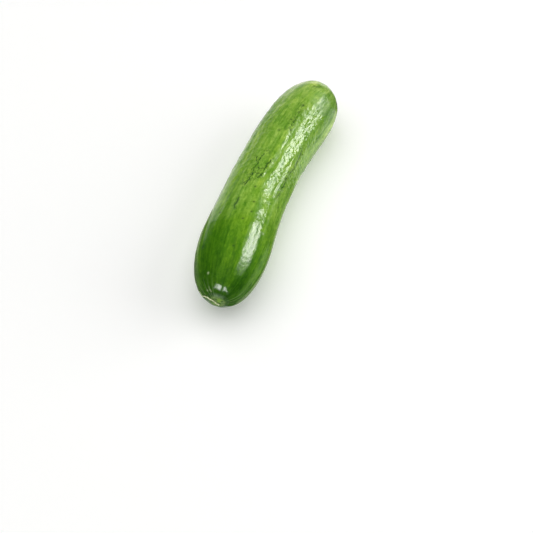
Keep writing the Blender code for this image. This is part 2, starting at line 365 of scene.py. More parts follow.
# Pale green cards just over the floor, which show only in the skin's edges: middle, size, radiance
FLOOR_CARDS = (
    ("left_card", (-0.055, 0.0535), (0.08, 0.027), 0.20),
    ("left_tip_card", (-0.0655, 0.026), (0.059, 0.028), 0.20),
    ("left_rim_card", (-0.021, 0.029), (0.030, 0.022), 0.45),
    ("low_card", (-0.040, -0.040), (0.06, 0.014), 0.6),
    ("right_rim_card", (-0.018, -0.0165), (0.09, 0.013), 0.45),
    ("right_card", (0.052, -0.036), (0.03, 0.02), 0.9),
    ("back_card", (0.031, 0.055), (0.028, 0.06), 0.4),
)
CARD_HEIGHT = 0.0005
CARD_TINT = (0.85, 1.0, 0.60)

# The camera: its line of sight to the middle of the fruit, and where that point falls in the picture
IMAGE_SIZE = 533
LENS, SENSOR = 85.0, 36.0
SIGHT_ELEVATION = math.radians(50.0)
SIGHT_HEADING = math.radians(21.9)
SIGHT_DISTANCE = 0.5977
MIDDLE_PIXEL = (259.5, 187.7)
CLIP_RANGE = (0.01, 20.0)

# The floor, which glows a little
FLOOR_LOOK = {
    "Base Color": (0.85, 0.85, 0.84),
    "Roughness": 0.9,
    "Emission Color": (1.0, 1.0, 0.99),
    "Emission Strength": 0.20,
}
FLOOR_REACH = 6.0
# Its seam runs round a strip under the fruit, given by where it starts and its reach to both sides. Then it
# leads away on both sides: side, place on the X axis that it points from, and run along X for a metre of Y
FLOOR_STRIP = (-0.12, 0.010, 0.010)
FLOOR_EDGES = ((1, -0.015, 0.25), (-1, 0.008, 0.76))
# Past the stem end lies one more part that doesn't show: its corner, and the azimuths of its two edges
FLOOR_WEDGE = ((0.066, -0.010), (-51.0, -5.0))


def ease(share):
    """Rises smoothly from 0 to 1 while the share does."""
    share = np.clip(share, 0.0, 1.0)
    return share * share * (3.0 - 2.0 * share)


def rise(value, start, length):
    """Rises smoothly from 0 to 1 over that length."""
    return ease((value - start) / length)


def body_radius(along):
    slimmed = np.clip((along - BELLY_AT) / (WAIST_AT - BELLY_AT), 0.0, 1.0) ** WAIST_EASE
    swelled = (along - WAIST_AT) / (SHOULDER_AT - WAIST_AT)
    return (
        BELLY_RADIUS
        + (WAIST_RADIUS - BELLY_RADIUS) * ease(slimmed)
        + (SHOULDER_RADIUS - WAIST_RADIUS) * ease(swelled)
    )


def profile():
    """Distance along the middle line, radius and distance over the skin, at fine steps."""
    turn = np.linspace(0.0, math.pi / 2, PROFILE_STEPS)
    pieces = []
    for length, powers in ((BELLY_AT, BLOSSOM_POWERS), (LENGTH - SHOULDER_AT, STEM_POWERS)):
        depth = length * (1.0 - np.maximum(np.cos(turn), 0.0) ** (2.0 / powers[0]))
        pieces.append((depth, np.sin(turn) ** (2.0 / powers[1])))
    (blossom, blossom_share), (stem, stem_share) = pieces
    body = np.linspace(BELLY_AT, SHOULDER_AT, PROFILE_STEPS)[1:-1]
    along = np.concatenate([blossom, body, LENGTH - stem[::-1]])
    share = np.concatenate([blossom_share, np.ones(len(body)), stem_share[::-1]])
    radius = share * body_radius(along)
    walked = np.concatenate([[0.0], np.cumsum(np.hypot(np.diff(along), np.diff(radius)))])
    return along, radius, walked


def heading(along):
    share = along / LENGTH
    return BEND * (1.0 / 3.0 - share * share)


def middle_line(along):
    """Points of the middle line, with its direction, the way sideways and the way up at each."""
    fine = np.linspace(0.0, LENGTH, BEND_STEPS + 1)
    turn = heading(fine)
    steps = np.diff(fine)
    x = np.concatenate([[0.0], np.cumsum(steps * np.cos((turn[1:] + turn[:-1]) / 2))])
    y = np.concatenate([[0.0], np.cumsum(steps * np.sin((turn[1:] + turn[:-1]) / 2))])
    lift = END_LIFT * (2.0 * along / LENGTH - 1.0) ** 2
    z = body_radius(along) - FLAT_DEPTH + lift
    points = np.stack([np.interp(along, fine, x), np.interp(along, fine, y), z], axis=-1)
    turn = heading(along)
    forward = np.stack([np.cos(turn), np.sin(turn), 0 * turn], axis=-1)
    sideways = np.stack([-np.sin(turn), np.cos(turn), 0 * turn], axis=-1)
    up = np.broadcast_to([0.0, 0.0, 1.0], forward.shape)
    return points, forward, sideways, up


def rib_relief(along, angle):
    share = along / LENGTH
    fade = ease(along / RELIEF_FADE) * ease((LENGTH - along) / RELIEF_FADE)
    lobes = LOBE_HEIGHT * np.cos(LOBES * angle + LOBE_TURN * share)
    wander = RIB_WANDER * np.sin(2.0 * math.pi * share + 2.0 * angle)
    ribs = RIB_HEIGHT * np.cos(RIBS * angle + wander)
    return fade * (lobes + ribs)


def scar_relief(from_pole, angle, scar):
    radius, width, height, depth, nub_height, (side, up) = scar
    past_ring = from_pole - radius
    ring = height * np.exp(-((past_ring / width) ** 2))
    dish = -depth * (1.0 - ease(from_pole / radius))
    from_nub = np.hypot(from_pole * np.cos(angle) - side, from_pole * np.sin(angle) - up)
    nub = (nub_height + depth) * np.exp(-((from_nub / NUB_RADIUS) ** 2))
    pucker_fade = ease(past_ring / PUCKER_RUN_IN) * ease(1.0 - past_ring / PUCKER_REACH)
    puckers = -PUCKER_DEPTH * pucker_fade * (1.0 + np.cos(PUCKERS * angle)) / 2.0
    return ring + dish + nub + puckers


class Skin:
    """The skin's places as arrays, one entry for each ring and side."""

    LEAST_SQUARE = 1e-12  # keeps a route of one place from dividing by 0

    def __init__(self, rings, angles):
        along, radius, walked = profile()
        slope_size = np.hypot(np.gradient(along), np.gradient(radius))
        slopes = (-np.gradient(radius) / slope_size, np.gradient(along) / slope_size)
        self.walked, self.angle = np.broadcast_arrays(rings, angles)
        self.along = np.interp(self.walked, walked, along)
        self.radius = np.interp(self.walked, walked, radius)
        self.slope = [np.interp(self.walked, walked, part) for part in slopes]
        self.to_stem = walked[-1] - self.walked

    def relief(self):
        """Height of the forms that the solid has too."""
        near_blossom = self.along < LENGTH / 2
        from_pole = np.hypot(self.radius, np.where(near_blossom, self.along, LENGTH - self.along))
        blossom = scar_relief(from_pole, self.angle, BLOSSOM_SCAR)
        stem = scar_relief(from_pole, self.angle, STEM_SCAR)
        return rib_relief(self.along, self.angle) + np.where(near_blossom, blossom, stem)

    def points(self, height):
        middle, forward, sideways, up = middle_line(self.along)
        outward = np.cos(self.angle)[..., None] * sideways + np.sin(self.angle)[..., None] * up
        normal = self.slope[1][..., None] * outward + self.slope[0][..., None] * forward
        return middle + self.radius[..., None] * outward + height[..., None] * normal

    def straight(self):
        """The fruit's places with its bend taken out, so that textures run along it."""
        across = self.radius * np.cos(self.angle)
        upward = self.radius * np.sin(self.angle)
        return np.stack([across, upward, self.along], axis=-1)

    def unrolled(self):
        """Places on a pipe of even width, so that stripes keep their width up to the tips."""
        round_pipe = (np.cos(self.angle) * BELLY_RADIUS, np.sin(self.angle) * BELLY_RADIUS)
        return np.stack([*round_pipe, self.walked], axis=-1)

    def aside(self, route):
        """How far each place is from a route over the skin, in metres: below 0 on one side of it."""
        knots = np.array(route, dtype=float)
        ways = zip(knots[:-1], knots[1:]) if len(knots) > 1 else ((knots[0], knots[0]),)
        nearest = np.full(self.along.shape, np.inf)
        for start, end in ways:
            ends_along = (start[0] / MM, end[0] / MM)
            start_walked, end_walked = np.interp(ends_along, self.along[:, 0], self.walked[:, 0])
            start_angle, end_angle = math.radians(start[1]), math.radians(end[1])
            size = np.interp((start_walked + end_walked) / 2, self.walked[:, 0], self.radius[:, 0])
            run = np.array([end_walked - start_walked, (end_angle - start_angle) * size])
            from_along = self.walked - start_walked
            from_angle = (np.mod(self.angle - start_angle + math.pi, 2 * math.pi) - math.pi) * size
            share = (from_along * run[0] + from_angle * run[1]) / max(run @ run, self.LEAST_SQUARE)
            share = np.clip(share, 0.0, 1.0)
            gap = np.hypot(from_along - share * run[0], from_angle - share * run[1])
            gap = np.copysign(gap, from_along * run[1] - from_angle * run[0])
            nearest = np.where(np.abs(gap) < np.abs(nearest), gap, nearest)
        return nearest


def rough(places, across, along, seed, strength):
    """Smooth noise, up to about the strength both ways, with features of that size across and along."""
    scaled = places.reshape(-1, 3) / (across, across, along)
    shift = Vector([seed * step for step in SEED_STEPS])
    values = [noise.noise(Vector(place) + shift) for place in scaled]
    return strength * np.array(values).reshape(places.shape[:-1])


def cell_gap(places, across, along):
    """How much farther the second nearest cell middle is than the nearest, in cells: 0 on a border."""
    scaled = places.reshape(-1, 3) / (across, across, along)
    distances = [noise.voronoi(Vector(place))[0] for place in scaled]
    return np.array([second - first for first, second, *_ in distances]).reshape(places.shape[:-1])


def ring_places(total):
    """Distances over the skin of the rings, closer together over both scars."""
    fine = np.linspace(0.0, total, PROFILE_STEPS)
    from_end = np.minimum(fine, total - fine)
    density = 1.0 + SCAR_CROWDING * (1.0 - ease((from_end - SCAR_ZONE / 2) / SCAR_ZONE))
    count = np.concatenate([[0.0], np.cumsum((density[1:] + density[:-1]) / 2 * np.diff(fine))])
    return np.interp(np.linspace(0.0, count[-1], RINGS + 2)[1:-1], count, fine)


def build_fruit():
    total = profile()[2][-1]
    angles = np.arange(SIDES) * 2.0 * math.pi / SIDES
    skin = Skin(ring_places(total)[:, None], angles[None, :])
    height, marks = fine_relief(skin)
    points = skin.points(skin.relief() + height)
    shift = centring(points)
    points = points + shift
    points[..., 2] = np.maximum(points[..., 2], 0.0)

    poles = Skin(np.array([0.0, total]), np.zeros(2))
    tips = poles.points(poles.relief()) + shift
    vertices = np.concatenate([points.reshape(-1, 3), tips])
    fruit = add_mesh("cucumber_skin", vertices.tolist(), skin_faces(), skin_material())
    mesh = fruit.data
    mesh.shade_smooth()
    add_skin_layout(mesh, skin.walked[:, 0] / total)

    straight = np.concatenate([skin.straight().reshape(-1, 3), poles.straight()])
    store(mesh, "straight", straight * MM)
    ends = [[0.0, 0.0, 0.0], [0.0, 0.0, total]]
    store(mesh, "unrolled", np.concatenate([skin.unrolled().reshape(-1, 3), ends]) * MM)
    for name, values in marks.items():
        store(mesh, name, np.concatenate([values.ravel(), values[0, :1], values[-1, :1]]))
    store(mesh, "along", np.concatenate([skin.along.ravel(), [0.0, LENGTH]]) / LENGTH)
    return fruit, shift


def centring(points):
    """The level shift that brings the skin's box over the solid's."""
    low, high = (np.array(corner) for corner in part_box("fruit"))
    ours = (points.reshape(-1, 3).min(axis=0) + points.reshape(-1, 3).max(axis=0)) / 2
    shift = (low + high) / 2 - ours
    shift[2] = 0.0
    return shift


def line_mark(skin, route, drift, width):
    """1 on the route and fading out beside it."""
    return np.exp(-(((skin.aside(route) + drift) / width) ** 2))


def ageing(skin, unrolled):
    """How old the skin is, and how strongly it is crackled."""
    age = YOUNG_CRACKLE + (1.0 - YOUNG_CRACKLE) * rise(skin.along, *OLD_SKIN)
    crackled = age * np.clip(1.0 + rough(skin.straight(), *AGE_PATCHES), *AGE_RANGE)
    crackled *= rise(skin.walked, *CRACKLE_START) * (1.0 - np.clip(patches(skin, unrolled, CALM), 0.0, 1.0))
    crackled *= 1.0 - (1.0 - STEM_CRACKLE) * rise(skin.along, *STEM_SKIN)
    return age, crackled


def all_over_relief(skin, unrolled, age, crackled):
    """Height of the relief that covers the whole skin: swellings, ripples, pleats and crackle."""
    places = skin.straight()
    bent = places + rough(places, *FOLD_DRIFT)[..., None]
    fold = np.exp(-((cell_gap(bent, *FOLD_CELL) / FOLD_WIDTH) ** 2))
    crinkle = crackled * (rough(places, *CRINKLE) - FOLD_DEPTH * fold)
    ripple = rough(places, *RIPPLE) * (YOUNG_RIPPLE + (1.0 - YOUNG_RIPPLE) * age)
    pleats = rough(unrolled, *PLEAT) + rough(unrolled, *STRIATION)
    pleats *= skin.radius / BELLY_RADIUS * rise(skin.walked, *PLEAT_START)
    fade = ease(np.minimum(skin.walked, skin.to_stem) / RELIEF_FADE)
    return fade * (rough(places, *SWELL) + ripple + pleats) + crinkle - SKIN_INSET


def furrow_marks(skin, drift):
    """Depth of the furrows, and how dark they are."""
    depth, dark = np.zeros(skin.along.shape), np.zeros(skin.along.shape)
    for deepest, width, darkness, route in FURROWS:
        cut = line_mark(skin, route, drift, width)
        depth += cut * (np.interp(skin.along * MM, *deepest) if isinstance(deepest, tuple) else deepest)
        dark = np.maximum(dark, darkness * line_mark(skin, route, drift, width * DARK_SHARE))
    return depth, dark


def crack_marks(skin, drift):
    """Depth of the cracks, and the marks in mm from which the material draws their lines.

    The distance to the nearest crack is kept with a sign, because it then passes through 0 between two
    vertices, and the line can be narrower than a face. The gap, without one, tells where a crack ends.
    """
    broken = CRACK_SHOWN + CRACK_SHOWN_CHANGE * np.clip(rough(skin.straight(), *CRACK_BREAKS), -1.0, 1.0)
    depth, zone, faint = (np.zeros(skin.along.shape) for _ in range(3))
    nearest = np.full(skin.along.shape, CRACK_FAR)
    for darkness, route in CRACKS:
        side = skin.aside(route) + drift
        depth += CRACK_DEPTH * np.exp(-((side / CRACK_WIDTH) ** 2))
        zone = np.maximum(zone, np.exp(-((side / CRACKED_ZONE) ** 2)))
        nearer = np.abs(side) < np.abs(nearest)
        nearest = np.where(nearer, side, nearest)
        faint = np.where(nearer, CRACK_THINNING * (1.0 - darkness * broken), faint)
    gap = np.abs(nearest) + faint
    marks = {"cracked": zone, "crack_side": nearest * MM, "crack_gap": gap * MM, "crack_faint": faint * MM}
    return depth, marks


def spot_marks(skin):
    """Height of the pits, specks and painted glints, how dark the pits are and how pale the specks and glints
    are.
    """
    height, dark, light = (np.zeros(skin.along.shape) for _ in range(3))
    for pit in PITS:
        cut = line_mark(skin, (pit,), 0.0, PIT_RADIUS)
        height -= PIT_DEPTH * cut
        dark = np.maximum(dark, cut)
    for strength, radius, route in SPECKS_AND_GLINTS:
        spot = strength * line_mark(skin, route, 0.0, radius)
        height += SPECK_HEIGHT * spot
        light = np.maximum(light, spot)
    return height, dark, light


def fine_relief(skin):
    """Height of the fine relief, and how strongly each kind of mark shows, at each place."""
    unrolled = skin.unrolled()
    age, crackled = ageing(skin, unrolled)
    drift = rough(skin.straight(), *ROUTE_DRIFT)
    furrow_depth, furrow_dark = furrow_marks(skin, drift)
    crack_depth, marks = crack_marks(skin, drift)
    spot_height, spot_dark, marks["light"] = spot_marks(skin)
    height = all_over_relief(skin, unrolled, age, crackled) + spot_height - furrow_depth - crack_depth
    marks["dark"] = np.maximum(furrow_dark, spot_dark)
    marks["creased"] = crackled
    marks["nub"] = nub_mark(skin)
    stripes = rough(unrolled, *WIDE_STRIPES) + rough(unrolled, *THIN_STRIPES)
    # Stripes and patches, partly the skin's own colour and partly painted shade and painted light
    marks["tone"] = stripes + patches(skin, unrolled, TONE_AND_SHADING_PATCHES)
    dull = patches(skin, unrolled, DULL) * (1.0 + rough(unrolled, *DULL_STREAKS))
    marks["dull"] = np.clip(dull + DULL_TIP * (1.0 - rise(skin.walked, *DULL_TIP_EDGE)), 0.0, 1.0)
    marks["scar"] = 1.0 - rise(np.minimum(skin.walked, skin.to_stem), *SCAR_EDGE)
    return height, marks


def nub_mark(skin):
    """1 on the blossom scar's bright nub, 0 where the scar is plain and below 0 in the notches round it."""
    places = skin.straight()
    drift = rough(places, *NUB_DRIFT)
    mark = np.zeros(skin.along.shape)
    for strength, side, up, radius in NUB_SPOTS:
        gap = np.hypot(places[..., 0] - side, places[..., 1] - up) + drift
        spot = strength * np.exp(-((gap / radius) ** 4))
        mark = np.where(np.abs(spot) > np.abs(mark), spot, mark)
    return np.where(skin.along < LENGTH / 2, mark, 0.0)


def patches(skin, unrolled, table):
    """The strengths of patches with ragged edges, added up."""
    drift = rough(unrolled, *PATCH_DRIFT)
    degrees = np.degrees(skin.angle) + drift
    mm = skin.along * MM + drift
    total = np.zeros(mm.shape)
    for strength, from_mm, to_mm, from_degrees, to_degrees, fade_mm, fade_degrees in table:
        along = ease((mm - from_mm) / fade_mm + 0.5) * ease((to_mm - mm) / fade_mm + 0.5)
        turned = ease((degrees - from_degrees) / fade_degrees + 0.5)
        turned *= ease((to_degrees - degrees) / fade_degrees + 0.5)
        total += strength * along * turned
    return total


def ring_quads(rings, sides):
    """Faces between each ring of vertices and the next."""
    quads = []
    for ring in range(rings - 1):
        for side in range(sides):
            after = (side + 1) % sides
            here, there = ring * sides, (ring + 1) * sides
            quads.append((here + side, there + side, there + after, here + after))
    return quads


def skin_faces():
    faces = ring_quads(RINGS, SIDES)
    last = (RINGS - 1) * SIDES
    for side in range(SIDES):
        after = (side + 1) % SIDES
        faces.append((after, RINGS * SIDES, side))
        faces.append((last + side, RINGS * SIDES + 1, last + after))
    return faces


def layout_corners(corners):
    """The layout's corners of the faces that go round the fruit once, as rows of u and v."""
    return np.stack([np.stack([u, np.full(SIDES, v)], -1) for u, v in corners], axis=1)


def add_skin_layout(mesh, shares):
    """A UV layout unrolled round the fruit, which follows the order of skin_faces."""
    side = np.arange(SIDES)
    low, high = side / SIDES, (side + 1) / SIDES
    middle = (low + high) / 2
    rings = [
        layout_corners([(low, lower), (low, upper), (high, upper), (high, lower)]).reshape(-1, 2)
        for lower, upper in zip(shares[:-1], shares[1:])
    ]
    blossom = layout_corners([(high, shares[0]), (middle, 0.0), (low, shares[0])])
    stem = layout_corners([(low, shares[-1]), (middle, 1.0), (high, shares[-1])])
    fans = np.stack([blossom, stem], axis=1).reshape(-1, 2)
    layout = mesh.uv_layers.new(name="OFBake")
    layout.uv.foreach_set("vector", np.concatenate([*rings, fans]).astype(np.float32).ravel())


def add_mesh(name, vertices, faces, material):
    mesh = bpy.data.meshes.new(name)
    mesh.from_pydata(vertices, [], faces)
    mesh.materials.append(material)
    made = bpy.data.objects.new(name, mesh)
    bpy.context.scene.collection.objects.link(made)
    return made


def store(mesh, name, values):
    """Keeps a number or a vector for each vertex, which the material reads by name."""
    vector = values.ndim == 2
    kept = mesh.attributes.new(name, "FLOAT_VECTOR" if vector else "FLOAT", "POINT")
    kept.data.foreach_set("vector" if vector else "value", values.astype(np.float32).ravel())


def smooth_through(places, count):
    """Points along the Catmull-Rom curve through the given places."""
    before = 2.0 * places[:1] - places[1:2]
    after = 2.0 * places[-1:] - places[-2:-1]
    knots = np.concatenate([before, places, after])
    reach = np.linspace(0.0, len(places) - 1, count)
    start = np.minimum(reach.astype(int), len(places) - 2)
    t = (reach - start)[:, None]
    a, b, c, d = (knots[start + shift] for shift in range(4))
    return b + t * (c - a) / 2 + t**2 * (a - 2.5 * b + 2 * c - d / 2) + t**3 * (1.5 * (b - c) + (d - a) / 2)


def thread_line(share, radius, shift):
    """The thread's middle line, which starts sunk in the scar and then lies on the skin with small kinks."""
    side, up = smooth_through(np.array(THREAD_ROUTE), THREAD_STEPS).T
    strand = Skin(np.hypot(side, up), np.arctan2(up, side))
    heave = 1.0 + THREAD_HEAVE * np.sin(share * THREAD_HEAVE_TURN)
    lift = radius + THREAD_LIFT * ease(share / THREAD_LIFT_END) * heave
    lift -= THREAD_SINK * (1.0 - ease(share / THREAD_SINK_END))
    x, y, z = (share * turn for turn in THREAD_KINK_TURNS)
    kinks = THREAD_KINK * np.stack([np.sin(x), np.cos(y), np.sin(z)], -1)
    return strand.points(strand.relief() + lift) + shift + kinks


def tube_points(line, size, turn):
    """Points round a line, at that distance from it for each step along it and each turn round it."""
    ahead = np.gradient(line, axis=0)
    ahead /= np.linalg.norm(ahead, axis=1, keepdims=True)
    outward = np.cross(ahead, (0.0, 0.0, 1.0))
    outward /= np.linalg.norm(outward, axis=1, keepdims=True)
    other = np.cross(ahead, outward)
    across = (size * np.cos(turn))[..., None] * outward[:, None]
    return line[:, None] + across + (size * np.sin(turn))[..., None] * other[:, None]


def tube_faces(steps, sides):
    """Its rings turn the other way from the skin's, so the faces between them are turned over."""
    faces = [(a, d, c, b) for a, b, c, d in ring_quads(steps, sides)]
    faces.append(tuple(reversed(range(sides))))
    faces.append(tuple((steps - 1) * sides + side for side in range(sides)))
    return faces


def build_thread(shift):
    share = np.linspace(0.0, 1.0, THREAD_STEPS)
    turn = np.arange(THREAD_SIDES) * 2.0 * math.pi / THREAD_SIDES
    radius = THREAD_RADII[0] + (THREAD_RADII[1] - THREAD_RADII[0]) * ease(share)
    line = thread_line(share, radius, shift)
    ridges = THREAD_RIDGE_HEIGHT * np.sin(THREAD_RIDGES * turn + THREAD_RIDGE_TURN * share[:, None])
    knots = THREAD_KNOTS * np.sin(share * THREAD_KNOT_TURN)[:, None]
    closing = np.sqrt(np.clip(1.0 - share**THREAD_TIP_POWER, THREAD_TIP_LEAST, 1.0))
    size = (radius * closing)[:, None] * (1.0 + ridges + knots)
    points = tube_points(line, size, turn).reshape(-1, 3)
    faces = tube_faces(THREAD_STEPS, THREAD_SIDES)
    thread = add_mesh("dry_thread", points.tolist(), faces, thread_material())
    thread.data.shade_smooth()
    store(thread.data, "share", np.repeat(share, THREAD_SIDES))
    return thread


MIX_SOCKETS = ("Factor_Float", "A_Color", "B_Color")


class Graph:
    """Short ways to add nodes to a material."""

    def __init__(self, name):
        self.material = bpy.data.materials.new(name)
        self.material.use_nodes = True
        self.tree = self.material.node_tree
        self.shader = self.tree.nodes["Principled BSDF"]

    def node(self, kind, inputs=(), **settings):
        made = self.tree.nodes.new("ShaderNode" + kind)
        for key, value in settings.items():
            setattr(made, key, value)
        for key, value in dict(inputs).items():
            self.put(made.inputs[key], value)
        return made

    def put(self, socket, value):
        if isinstance(value, bpy.types.NodeSocket):
            self.tree.links.new(value, socket)
        elif hasattr(value, "__len__") and len(value) == 3 and len(socket.default_value) == 4:
            socket.default_value = (*value, 1.0)
        else:
            socket.default_value = value

    def shade(self, inputs):
        """Gives the shader these inputs, which completes the material."""
        for name, value in inputs.items():
            self.put(self.shader.inputs[name], value)
        return self.material

    def attribute(self, name, part="Fac"):
        return self.node("Attribute", attribute_name=name).outputs[part]

    def maths(self, kind, *values):
        made = self.node("Math", operation=kind)
        for socket, value in zip(made.inputs, values):
            self.put(socket, value)
        return made.outputs[0]

    def texture(self, place, scale, detail=2.0, roughness=0.5, shift=0.0, stretch=1.0):
        """Noise between 0 and 1."""
        mapping = {0: place, "Scale": (1.0, 1.0, stretch), "Location": (shift, shift, shift)}
        mapped = self.node("Mapping", mapping).outputs[0]
        inputs = {"Vector": mapped, "Scale": scale, "Detail": detail, "Roughness": roughness}
        return self.node("TexNoise", inputs).outputs["Fac"]

    def spread(self, value, low, high, to_low=0.0, to_high=1.0):
        ends = {0: value, 1: low, 2: high, 3: to_low, 4: to_high}
        return self.node("MapRange", ends, interpolation_type="SMOOTHSTEP").outputs[0]

    def mix(self, share, first, second, blend="MIX"):
        made = self.node("Mix", data_type="RGBA", blend_type=blend)
        factor, one, other = (next(i for i in made.inputs if i.identifier == name) for name in MIX_SOCKETS)
        for socket, value in ((factor, share), (one, first), (other, second)):
            self.put(socket, value)
        return made.outputs[2]

    def tinted(self, colour, value, tints):
        """The colour, multiplied by each tint where the value calls for it."""
        for start, full, tint, strength in tints:
            colour = self.mix(self.spread(value, start, full, 0.0, strength), colour, tint, "MULTIPLY")
        return colour

    def ramp(self, value, stops):
        made = self.node("ValToRGB", {"Fac": value})
        while len(made.color_ramp.elements) < len(stops):
            made.color_ramp.elements.new(1.0)
        for element, (place, colour) in zip(made.color_ramp.elements, stops):
            element.position = place
            element.color = (*colour, 1.0)
        return made.outputs["Color"]

    def warped(self, place, scale, amount):
        """The place, moved about by noise by up to about that many millimetres."""
        drift = self.node("TexNoise", {"Vector": place, "Scale": scale, "Detail": 2.0}).outputs["Color"]
        centred = self.node("VectorMath", {0: drift, 1: (0.5, 0.5, 0.5)}, operation="SUBTRACT").outputs[0]
        scaled = self.node("VectorMath", {0: centred, 3: 2.0 * amount}, operation="SCALE").outputs[0]
        return self.node("VectorMath", {0: place, 1: scaled}, operation="ADD").outputs[0]


def ground_colour(graph, straight, unrolled, mottle):
    """Colour of the sound skin: bands along the fruit with patches, streaks, mottle and flecks."""
    drift = graph.texture(straight, COLOUR_DRIFT_SCALE)
    drift = graph.spread(drift, *COLOUR_DRIFT_RANGE, -COLOUR_DRIFT, COLOUR_DRIFT)
    # The bands along the fruit are partly painted shade at the blossom end and painted light at the stem end
    colour = graph.ramp(graph.maths("ADD", graph.attribute("along"), drift), SKIN_COLOURS_AND_SHADING)
    # Patches partly of the skin's own colour and partly of painted shade and painted light
    colour = graph.tinted(colour, graph.attribute("tone"), TONE_AND_SHADING_TINTS)
    colour = graph.tinted(colour, graph.texture(unrolled, *STREAK_NOISE), STREAK_TINTS)
    colour = graph.tinted(colour, mottle, MOTTLE_TINTS)
    colour = graph.tinted(colour, graph.texture(straight, *FLECK_NOISE), FLECK_TINTS)
    # Pale rays from the tip, partly painted reflection
    rays = graph.spread(graph.texture(unrolled, *RAY_NOISE), *RAY_RANGE)
    near_tip = graph.spread(graph.node("SeparateXYZ", {0: unrolled}).outputs["Z"], *RAY_REACH)
    rays = graph.maths("MULTIPLY", graph.maths("MULTIPLY", rays, near_tip), RAY_STRENGTH)
    return graph.mix(rays, colour, RAY_COLOUR)


def small_cracks(graph, straight):
    """Broken lines between cells, near the long cracks."""
    inputs = {"Vector": graph.warped(straight, *SMALL_CRACK_WARP), "Scale": SMALL_CRACK_SCALE}
    cells = graph.node("TexVoronoi", inputs, feature="DISTANCE_TO_EDGE")
    lines = graph.spread(cells.outputs["Distance"], *SMALL_CRACK_LINE)
    broken = graph.spread(graph.texture(straight, *SMALL_CRACK_NOISE), *SMALL_CRACK_RANGE)
    lines = graph.maths("MULTIPLY", graph.maths("MULTIPLY", lines, broken), graph.attribute("cracked"))
    return graph.maths("MULTIPLY", lines, SMALL_CRACK_STRENGTH)


def dark_marks(graph, straight):
    """1 on the dark lines of cracks and furrows and in the pits, and 0 beside them."""
    aside = graph.maths("ABSOLUTE", graph.attribute("crack_side"))
    aside = graph.maths("ADD", aside, graph.attribute("crack_faint"))
    past_end = graph.maths("SUBTRACT", graph.attribute("crack_gap"), CRACK_OVERRUN)
    aside = graph.maths("MAXIMUM", aside, past_end)
    ragged = graph.texture(straight, *CRACK_EDGE_NOISE)
    ragged = graph.spread(ragged, *CRACK_EDGE_RANGE, -CRACK_RAGGEDNESS, CRACK_RAGGEDNESS)
    line = graph.spread(graph.maths("ADD", aside, ragged), *CRACK_LINE)
    cracks = graph.maths("MAXIMUM", small_cracks(graph, straight), line)
    return graph.maths("MAXIMUM", graph.attribute("dark"), cracks)


def cork_colour(graph, straight):
    """Colour of both scars, with the nub and the notches of the blossom scar."""
    cork = graph.texture(straight, *CORK_NOISE)
    cork = graph.mix(graph.spread(cork, *DARK_CORK_RANGE), PALE_CORK, DARK_CORK)
    nub = graph.attribute("nub")
    cork = graph.mix(graph.spread(nub, *NOTCH_RANGE), cork, NOTCH_COLOUR)
    return graph.mix(graph.spread(nub, *NUB_RANGE), cork, NUB_COLOUR)


def skin_bump(graph, straight):
    """The finest grain of the skin, and the creases of its older part."""
    crackled = graph.attribute("creased")
    creases = graph.texture(graph.warped(straight, *CREASE_WARP), *CREASE_NOISE)
    creases = graph.maths("ABSOLUTE", graph.maths("SUBTRACT", creases, 0.5))
    creases = graph.maths("MULTIPLY", graph.spread(creases, CREASE_WIDTH, 0.0), crackled)
    grain = graph.maths("MULTIPLY_ADD", creases, -CREASE_DEPTH, graph.texture(straight, *GRAIN_NOISE))
    grain = graph.maths("MULTIPLY", grain, graph.spread(crackled, *GRAIN_RANGE, *GRAIN_STRENGTHS))
    bump = graph.node("Bump", {"Height": grain, "Strength": 1.0, "Distance": GRAIN_HEIGHT})
    return bump.outputs[0]


def skin_material():
    graph = Graph("cucumber_skin")
    straight = graph.attribute("straight", "Vector")
    mottle = graph.texture(straight, *MOTTLE_NOISE)
    scar = graph.attribute("scar")

    colour = ground_colour(graph, straight, graph.attribute("unrolled", "Vector"), mottle)
    colour = graph.mix(dark_marks(graph, straight), colour, DARK_MARK)
    # Pale specks, and painted glints near the tip
    colour = graph.mix(graph.attribute("light"), colour, PALE_MARK)
    colour = graph.mix(graph.maths("MULTIPLY", scar, CORK_COVER), colour, cork_colour(graph, straight))

    roughness = graph.spread(mottle, *MOTTLE_RANGE, *SKIN_ROUGHNESS)
    roughness = graph.maths("MULTIPLY_ADD", graph.attribute("creased"), CRACKLE_ROUGHNESS, roughness)
    dull = graph.maths("MAXIMUM", graph.attribute("dull"), scar)
    roughness = graph.maths("MULTIPLY_ADD", dull, DULL_ROUGHNESS, roughness)
    bump = skin_bump(graph, straight)
    return graph.shade({"Base Color": colour, "Roughness": roughness, "IOR": WAX_IOR, "Normal": bump})


def thread_material():
    graph = Graph("dry_thread")
    fibre = graph.texture(graph.node("TexCoord").outputs["Object"], *FIBRE_NOISE)
    colour = graph.mix(graph.spread(fibre, *PALE_FIBRE_RANGE), DARK_FIBRE, PALE_FIBRE)
    colour = graph.mix(graph.spread(graph.attribute("share"), *FIBRE_TIP_RANGE), colour, FIBRE_TIP)
    bump = graph.node("Bump", {"Height": fibre, "Strength": FIBRE_STRENGTH, "Distance": FIBRE_HEIGHT})
    return graph.shade({"Base Color": colour, "Roughness": THREAD_ROUGHNESS, "Normal": bump.outputs[0]})


